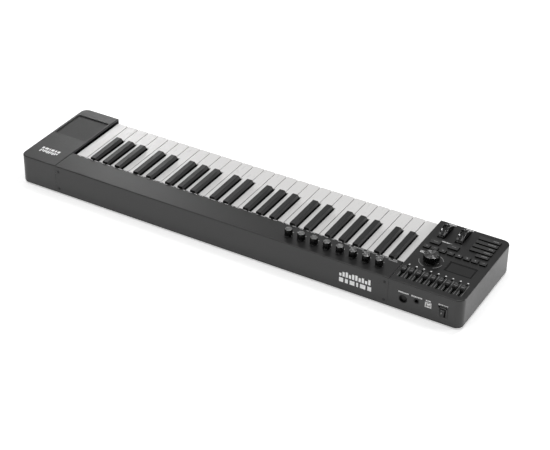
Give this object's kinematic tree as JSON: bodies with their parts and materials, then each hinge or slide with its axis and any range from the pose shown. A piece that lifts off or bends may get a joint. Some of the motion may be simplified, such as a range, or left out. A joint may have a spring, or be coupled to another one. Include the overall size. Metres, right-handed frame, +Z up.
{
  "type": "midi keyboard",
  "caption": "Long flat controller keyboard: piano keys between a control block and a touchpad block, knobs on a rear strip, sockets in the rear wall.",
  "frame": {"origin": "middle of the footprint, at the bottom of the rubber feet", "axes": "+X to the player's right, +Y to the rear (socket side), +Z up"},
  "size_m": [0.9, 0.207, 0.0733],
  "materials": {
    "case_base": "fine moulded texture",
    "case_shell": "satin moulded texture",
    "panel": "satin moulded texture",
    "pad_shell": "satin moulded texture",
    "touchpad": "smooth matt",
    "screw_steel": "blackened steel",
    "inner_plastic": "plain moulded",
    "steel": "plain steel",
    "circuit_board": "lacquered board",
    "felt": "pressed felt",
    "rubber": "matt rubber",
    "display": "smoked window",
    "led": "frosted light pipe",
    "socket_black": "moulded",
    "usb_metal": "tinned steel",
    "rocker": "semi gloss",
    "wheel_gloss": "polished",
    "knob_black": "satin with a spun top",
    "slider_black": "satin",
    "button": "silicone touch",
    "white_key": "smooth satin",
    "black_key": "fine matt"
  },
  "bodies": {
    "case": {"bottom_tray": "case_base", "rubber_feet": "rubber", "control_housing": "case_shell", "control_panel": "panel", "touchpad_housing": "pad_shell", "touchpad_surface": "touchpad", "rear_cover": "case_shell", "case_screws": "screw_steel", "keybed_frame": "inner_plastic", "key_pivot_rod": "steel", "key_contact_board": "circuit_board", "key_return_springs": "steel", "key_stop_felt": "felt", "control_board": "circuit_board", "display_module": "inner_plastic", "display_window": "display", "wheel_bracket": "steel", "wheel_axle": "steel", "slider_potentiometers": "circuit_board", "knob_encoders": "circuit_board", "panel_leds": "led", "din_socket": "socket_black", "pedal_jack": "socket_black", "usb_socket": "usb_metal", "power_switch_frame": "socket_black"},
    "white_comb_a_1": {"white_comb_a_1": "white_key"},
    "white_comb_b_1": {"white_comb_b_1": "white_key"},
    "black_comb_1": {"black_comb_1": "black_key"},
    "white_comb_a_2": {"white_comb_a_2": "white_key"},
    "white_comb_b_2": {"white_comb_b_2": "white_key"},
    "black_comb_2": {"black_comb_2": "black_key"},
    "white_comb_a_3": {"white_comb_a_3": "white_key"},
    "white_comb_b_3": {"white_comb_b_3": "white_key"},
    "black_comb_3": {"black_comb_3": "black_key"},
    "white_comb_a_4": {"white_comb_a_4": "white_key"},
    "white_comb_b_4": {"white_comb_b_4": "white_key"},
    "black_comb_4": {"black_comb_4": "black_key"},
    "pitch_wheel": {"pitch_wheel": "wheel_gloss"},
    "mod_wheel": {"mod_wheel": "wheel_gloss"},
    "data_dial": {"data_dial": "knob_black"},
    "knob_1": {"knob_1": "knob_black"},
    "knob_2": {"knob_2": "knob_black"},
    "knob_3": {"knob_3": "knob_black"},
    "knob_4": {"knob_4": "knob_black"},
    "knob_5": {"knob_5": "knob_black"},
    "knob_6": {"knob_6": "knob_black"},
    "knob_7": {"knob_7": "knob_black"},
    "knob_8": {"knob_8": "knob_black"},
    "slider_1": {"slider_1": "slider_black"},
    "slider_2": {"slider_2": "slider_black"},
    "slider_3": {"slider_3": "slider_black"},
    "slider_4": {"slider_4": "slider_black"},
    "slider_5": {"slider_5": "slider_black"},
    "slider_6": {"slider_6": "slider_black"},
    "slider_7": {"slider_7": "slider_black"},
    "slider_8": {"slider_8": "slider_black"},
    "slider_9": {"slider_9": "slider_black"},
    "small_buttons": {"small_buttons": "button"},
    "function_buttons": {"function_buttons": "button"},
    "power_rocker": {"power_rocker": "rocker"}
  },
  "joints": [
    {"name": "white_comb_a_1_press", "type": "hinge", "parent": "case", "child": "white_comb_a_1", "pos_m": [0.0271, 0.088, 0.04], "axis": [1, 0, 0], "range_deg": [0, 3.1], "stiffness_Nm_per_rad": 8, "springref_deg": -3.44},
    {"name": "white_comb_b_1_press", "type": "hinge", "parent": "case", "child": "white_comb_b_1", "pos_m": [0.0271, 0.088, 0.04], "axis": [1, 0, 0], "range_deg": [0, 3.1], "stiffness_Nm_per_rad": 6, "springref_deg": -3.44},
    {"name": "black_comb_1_press", "type": "hinge", "parent": "case", "child": "black_comb_1", "pos_m": [0.0271, 0.088, 0.04], "axis": [1, 0, 0], "range_deg": [0, 3.1], "stiffness_Nm_per_rad": 10, "springref_deg": -3.44},
    {"name": "white_comb_a_2_press", "type": "hinge", "parent": "case", "child": "white_comb_a_2", "pos_m": [0.0271, 0.088, 0.04], "axis": [1, 0, 0], "range_deg": [0, 3.1], "stiffness_Nm_per_rad": 8, "springref_deg": -3.44},
    {"name": "white_comb_b_2_press", "type": "hinge", "parent": "case", "child": "white_comb_b_2", "pos_m": [0.0271, 0.088, 0.04], "axis": [1, 0, 0], "range_deg": [0, 3.1], "stiffness_Nm_per_rad": 6, "springref_deg": -3.44},
    {"name": "black_comb_2_press", "type": "hinge", "parent": "case", "child": "black_comb_2", "pos_m": [0.0271, 0.088, 0.04], "axis": [1, 0, 0], "range_deg": [0, 3.1], "stiffness_Nm_per_rad": 10, "springref_deg": -3.44},
    {"name": "white_comb_a_3_press", "type": "hinge", "parent": "case", "child": "white_comb_a_3", "pos_m": [0.0271, 0.088, 0.04], "axis": [1, 0, 0], "range_deg": [0, 3.1], "stiffness_Nm_per_rad": 8, "springref_deg": -3.44},
    {"name": "white_comb_b_3_press", "type": "hinge", "parent": "case", "child": "white_comb_b_3", "pos_m": [0.0271, 0.088, 0.04], "axis": [1, 0, 0], "range_deg": [0, 3.1], "stiffness_Nm_per_rad": 6, "springref_deg": -3.44},
    {"name": "black_comb_3_press", "type": "hinge", "parent": "case", "child": "black_comb_3", "pos_m": [0.0271, 0.088, 0.04], "axis": [1, 0, 0], "range_deg": [0, 3.1], "stiffness_Nm_per_rad": 10, "springref_deg": -3.44},
    {"name": "white_comb_a_4_press", "type": "hinge", "parent": "case", "child": "white_comb_a_4", "pos_m": [0.0271, 0.088, 0.04], "axis": [1, 0, 0], "range_deg": [0, 3.1], "stiffness_Nm_per_rad": 10, "springref_deg": -3.44},
    {"name": "white_comb_b_4_press", "type": "hinge", "parent": "case", "child": "white_comb_b_4", "pos_m": [0.0271, 0.088, 0.04], "axis": [1, 0, 0], "range_deg": [0, 3.1], "stiffness_Nm_per_rad": 6, "springref_deg": -3.44},
    {"name": "black_comb_4_press", "type": "hinge", "parent": "case", "child": "black_comb_4", "pos_m": [0.0271, 0.088, 0.04], "axis": [1, 0, 0], "range_deg": [0, 3.1], "stiffness_Nm_per_rad": 10, "springref_deg": -3.44},
    {"name": "pitch_wheel_turn", "type": "hinge", "parent": "case", "child": "pitch_wheel", "pos_m": [-0.339, -0.072, 0.0433], "axis": [-1, 0, 0], "range_deg": [-45, 45], "stiffness_Nm_per_rad": 0.05},
    {"name": "mod_wheel_turn", "type": "hinge", "parent": "case", "child": "mod_wheel", "pos_m": [-0.372, -0.072, 0.0433], "axis": [-1, 0, 0], "range_deg": [-45, 45]},
    {"name": "data_dial_turn", "type": "hinge", "parent": "case", "child": "data_dial", "pos_m": [-0.3548, 0.0211, 0.0593], "axis": [0, 0, -1], "continuous": true},
    {"name": "knob_1_turn", "type": "hinge", "parent": "case", "child": "knob_1", "pos_m": [-0.2855, 0.0786, 0.0593], "axis": [0, 0, -1], "range_deg": [-150, 150]},
    {"name": "knob_2_turn", "type": "hinge", "parent": "case", "child": "knob_2", "pos_m": [-0.26055, 0.0786, 0.0593], "axis": [0, 0, -1], "range_deg": [-150, 150]},
    {"name": "knob_3_turn", "type": "hinge", "parent": "case", "child": "knob_3", "pos_m": [-0.2356, 0.0786, 0.0593], "axis": [0, 0, -1], "range_deg": [-150, 150]},
    {"name": "knob_4_turn", "type": "hinge", "parent": "case", "child": "knob_4", "pos_m": [-0.21065, 0.0786, 0.0593], "axis": [0, 0, -1], "range_deg": [-150, 150]},
    {"name": "knob_5_turn", "type": "hinge", "parent": "case", "child": "knob_5", "pos_m": [-0.1857, 0.0786, 0.0593], "axis": [0, 0, -1], "range_deg": [-150, 150]},
    {"name": "knob_6_turn", "type": "hinge", "parent": "case", "child": "knob_6", "pos_m": [-0.16075, 0.0786, 0.0593], "axis": [0, 0, -1], "range_deg": [-150, 150]},
    {"name": "knob_7_turn", "type": "hinge", "parent": "case", "child": "knob_7", "pos_m": [-0.1358, 0.0786, 0.0593], "axis": [0, 0, -1], "range_deg": [-150, 150]},
    {"name": "knob_8_turn", "type": "hinge", "parent": "case", "child": "knob_8", "pos_m": [-0.11085, 0.0786, 0.0593], "axis": [0, 0, -1], "range_deg": [-150, 150]},
    {"name": "slider_1_move", "type": "slide", "parent": "case", "child": "slider_1", "axis": [0, -1, 0], "range_m": [-0.016, 0.016]},
    {"name": "slider_2_move", "type": "slide", "parent": "case", "child": "slider_2", "axis": [0, -1, 0], "range_m": [-0.016, 0.016]},
    {"name": "slider_3_move", "type": "slide", "parent": "case", "child": "slider_3", "axis": [0, -1, 0], "range_m": [-0.016, 0.016]},
    {"name": "slider_4_move", "type": "slide", "parent": "case", "child": "slider_4", "axis": [0, -1, 0], "range_m": [-0.016, 0.016]},
    {"name": "slider_5_move", "type": "slide", "parent": "case", "child": "slider_5", "axis": [0, -1, 0], "range_m": [-0.016, 0.016]},
    {"name": "slider_6_move", "type": "slide", "parent": "case", "child": "slider_6", "axis": [0, -1, 0], "range_m": [-0.016, 0.016]},
    {"name": "slider_7_move", "type": "slide", "parent": "case", "child": "slider_7", "axis": [0, -1, 0], "range_m": [-0.016, 0.016]},
    {"name": "slider_8_move", "type": "slide", "parent": "case", "child": "slider_8", "axis": [0, -1, 0], "range_m": [-0.016, 0.016]},
    {"name": "slider_9_move", "type": "slide", "parent": "case", "child": "slider_9", "axis": [0, -1, 0], "range_m": [-0.016, 0.016]},
    {"name": "small_buttons_press", "type": "slide", "parent": "case", "child": "small_buttons", "axis": [0, 0, -1], "range_m": [0, 0.0012], "stiffness_N_per_m": 400, "springref_m": -0.002},
    {"name": "function_buttons_press", "type": "slide", "parent": "case", "child": "function_buttons", "axis": [0, 0, -1], "range_m": [0, 0.0012], "stiffness_N_per_m": 400, "springref_m": -0.002},
    {"name": "power_rocker_tilt", "type": "hinge", "parent": "case", "child": "power_rocker", "pos_m": [-0.4164, 0.1003, 0.0276], "axis": [-1, 0, 0], "range_deg": [0, 14]}
  ]
}
